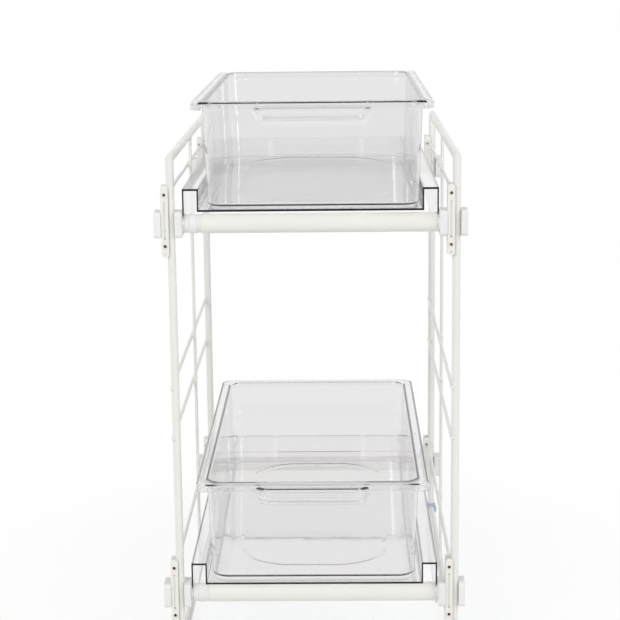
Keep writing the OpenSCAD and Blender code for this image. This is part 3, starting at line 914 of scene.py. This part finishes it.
class ORGANIZER_OT_side_frames(Operator):
    """Finish the rods and wires of both side frames and weld them where they meet"""
    bl_idname = "organizer.side_frames"
    bl_label = "Side Frames"

    def execute(self, context):
        sizes = context.scene.organizer_sizes
        for side in SIDES:
            names = [f"{side}_{end}_post" for end in ENDS]
            names += [f"{side}_top_bar", f"{side}_bottom_bar", f"{side}_upright_wire"]
            names += [f"{side}_{level}_guard_wire" for level in ("high", "low")]
            names += [f"{side}_{tier}_tray_wire" for tier in TIERS]
            for name in names:
                dress_node(name, "powder_coat")
        points = [point for side in SIDES for point in self.weld_points(side)]
        values = {"Bead Radius": sizes.weld_size, "Unevenness": 0.2, "Seed": 7,
                  "Finish": finish_for("powder_coat")}
        grown("frame_welds", points, weld_tree(), values, FRAME_BODY, ())
        return {"FINISHED"}

    def weld_points(self, side):
        """Where the lying wires cross the upright one and meet the posts, and the upright one's ends."""
        upright = box_middle(f"{side}_upright_wire")
        beside_post = ROD * 0.42
        into_bar = ROD * 0.06
        points = []
        for level in ("high", "low"):
            wire = box_middle(f"{side}_{level}_guard_wire")
            points.append(Vector((wire.x + WIRE / 2, upright.y, wire.z)))
            for end in ENDS:
                post = box_middle(f"{side}_{end}_post")
                for turn in (-1, 1):
                    points.append(Vector((wire.x + WIRE / 10, post.y + turn * beside_post, wire.z)))
        for tier in TIERS:
            wire = box_middle(f"{side}_{tier}_tray_wire")
            points.append(Vector((wire.x + WIRE / 2, upright.y, wire.z)))
        low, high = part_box(f"{side}_upright_wire")
        points.append(Vector((upright.x, upright.y, low[2] + into_bar)))
        points.append(Vector((upright.x, upright.y, high[2] - into_bar)))
        return points


class ORGANIZER_OT_clamps(Operator):
    """Make the moulded connectors, the clamp straps and their hollow rivets"""
    bl_idname = "organizer.clamps"
    bl_label = "Connectors, Straps and Rivets"

    def execute(self, context):
        sizes = context.scene.organizer_sizes
        for corner in CORNERS:
            rounded_copy(f"{corner}_connector", f"{corner}_connector_shell", "moulded_plastic",
                         sizes.connector_edge, 3, SQUARE_PIECE_ANGLE)
            rounded_copy(f"{corner}_strap", f"{corner}_strap_plate", "powder_coat",
                         sizes.strap_edge, 2, SQUARE_PIECE_ANGLE)
        for side in SIDES:
            points = self.rivet_points(side)
            values = {"Finish": finish_for("brass")}
            grown(f"{side}_rivet_set", points, rivet_tree(), values, FRAME_BODY, [f"{side}_rivets"])
        return {"FINISHED"}

    def rivet_points(self, side):
        """Front of each rivet, read from the CAD rivets, which lie above one another on each post."""
        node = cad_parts[f"{side}_rivets"]
        places = [node.matrix_world @ vertex.co for vertex in node.data.vertices]
        points = []
        for at_rear in (False, True):
            column = [place for place in places if (place.y > 0.0) == at_rear]
            column.sort(key=lambda place: place.z)
            starts = [i for i in range(1, len(column)) if column[i].z - column[i - 1].z > RIVET_GAP]
            for first, last in zip([0] + starts, starts + [len(column)]):
                rivet = column[first:last]
                x = (min(place.x for place in rivet) + max(place.x for place in rivet)) / 2
                front = min(place.y for place in rivet)
                points.append(Vector((x, front + RIVET_INSET, (rivet[0].z + rivet[-1].z) / 2)))
        return points


class ORGANIZER_OT_feet(Operator):
    """Make the rubber feet"""
    bl_idname = "organizer.feet"
    bl_label = "Feet"

    def execute(self, context):
        sizes = context.scene.organizer_sizes
        for side in SIDES:
            for end in ENDS:
                rounded_copy(f"{side}_{end}_foot", f"{side}_{end}_boot", "foot_rubber",
                             sizes.foot_edge, 3, ROUND_PIECE_ANGLE)
        return {"FINISHED"}


class ORGANIZER_OT_tubes(Operator):
    """Finish the cross tubes and their end plugs"""
    bl_idname = "organizer.tubes"
    bl_label = "Cross Tubes"

    def execute(self, context):
        sizes = context.scene.organizer_sizes
        for tier in TIERS:
            for end in ENDS:
                rounded_copy(f"{tier}_{end}_tube", f"{tier}_{end}_tube_coated", "powder_coat",
                             sizes.tube_edge, 2, ROUND_PIECE_ANGLE)
                rounded_copy(f"{tier}_{end}_plug", f"{tier}_{end}_plug_moulded", "moulded_plastic",
                             sizes.plug_edge, 3, ROUND_PIECE_ANGLE)
        return {"FINISHED"}


class ORGANIZER_OT_trays(Operator):
    """Make the clear trays that the bins slide in"""
    bl_idname = "organizer.trays"
    bl_label = "Trays"

    def execute(self, context):
        sizes = context.scene.organizer_sizes
        for tier in TIERS:
            rounded_copy(f"{tier}_tray", f"{tier}_tray_moulding", "clear_plastic",
                         sizes.tray_edge, 2, SQUARE_PIECE_ANGLE)
        return {"FINISHED"}


class ORGANIZER_OT_bins(Operator):
    """Make the clear bins with their rims, finger pulls and sunk panels"""
    bl_idname = "organizer.bins"
    bl_label = "Bins"

    def execute(self, context):
        sizes = context.scene.organizer_sizes
        for tier in TIERS:
            low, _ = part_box(f"{tier}_bin")
            shape = BinShape(sizes, Vector(low))
            piece = new_piece(f"{tier}_bin_moulding", shape.mesh(f"{tier}_bin_moulding"), "clear_plastic",
                              f"{tier}_bin_body", [f"{tier}_bin"])
            flatten_faces(piece)
        return {"FINISHED"}


class ORGANIZER_PT_sidebar(Panel):
    """Sizes, colours and steps of the organizer"""
    bl_idname = "ORGANIZER_PT_sidebar"
    bl_label = "Under Sink Organizer"
    bl_space_type = "VIEW_3D"
    bl_region_type = "UI"
    bl_category = "Organizer"

    def draw(self, context):
        scene = context.scene
        for group in (scene.organizer_sizes, scene.organizer_finishes):
            column = self.layout.column(align=True)
            for name in group.__annotations__:
                column.prop(group, name)
        for step in STEPS:
            self.layout.operator(step.bl_idname)


STEPS = (
    ORGANIZER_OT_stage,
    ORGANIZER_OT_side_frames,
    ORGANIZER_OT_clamps,
    ORGANIZER_OT_feet,
    ORGANIZER_OT_tubes,
    ORGANIZER_OT_trays,
    ORGANIZER_OT_bins,
)
CLASSES = (OrganizerSizes, OrganizerFinishes) + STEPS + (ORGANIZER_PT_sidebar,)


def register():
    for item in CLASSES:
        bpy.utils.register_class(item)
    bpy.types.Scene.organizer_sizes = PointerProperty(type=OrganizerSizes)
    bpy.types.Scene.organizer_finishes = PointerProperty(type=OrganizerFinishes)


def unregister():
    del bpy.types.Scene.organizer_finishes
    del bpy.types.Scene.organizer_sizes
    for item in reversed(CLASSES):
        bpy.utils.unregister_class(item)


def main():
    register()
    bpy.ops.organizer.stage()
    bpy.ops.organizer.side_frames()
    bpy.ops.organizer.clamps()
    bpy.ops.organizer.feet()
    bpy.ops.organizer.tubes()
    bpy.ops.organizer.trays()
    bpy.ops.organizer.bins()


if __name__ == "__main__":
    main()
